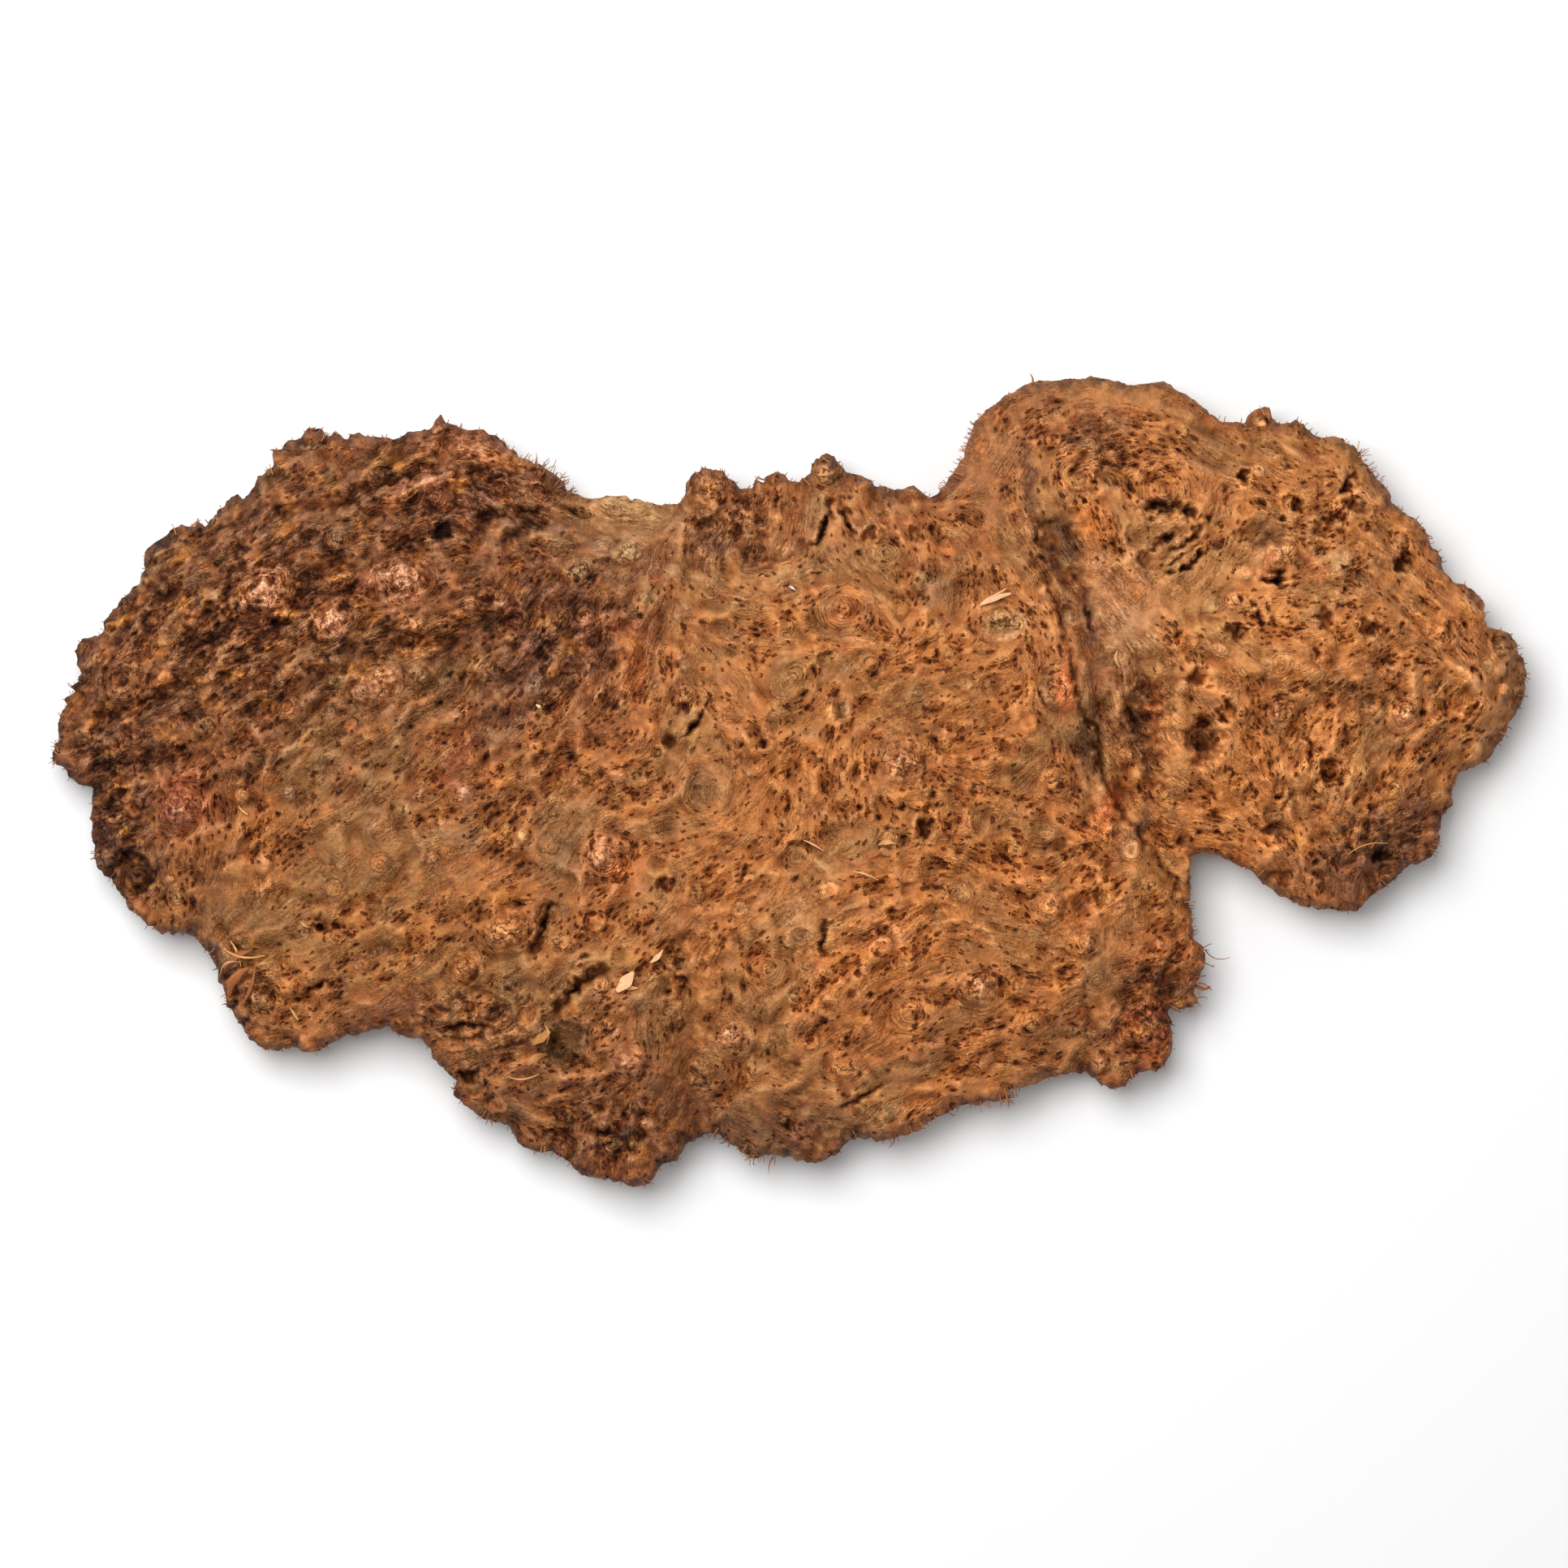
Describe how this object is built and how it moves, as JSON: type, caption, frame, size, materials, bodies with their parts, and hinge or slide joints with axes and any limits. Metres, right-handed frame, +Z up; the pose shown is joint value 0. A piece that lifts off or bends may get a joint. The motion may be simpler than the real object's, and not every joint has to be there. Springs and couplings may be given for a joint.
{
  "type": "burl cap",
  "caption": "Knotty cap of figured wood sawn off a trunk: ragged lobed outline, domed top with knobs, craters and furrows, undercut rim and a flat sawn underside.",
  "frame": {"origin": "middle of the outline's box, on the sawn underside", "axes": "+X along the length, from the dark lobe to the lobe behind the main groove; +Y to the side with the plain flank; +Z up, out of the knotty top"},
  "size_m": [0.42, 0.23, 0.0611],
  "materials": {
    "burl_wood": "weathered red-brown burl, raw and unfinished, matt with a slight sheen on the smooth stretches"
  },
  "bodies": {
    "root": {"burl_cap": "burl_wood"}
  },
  "joints": []
}
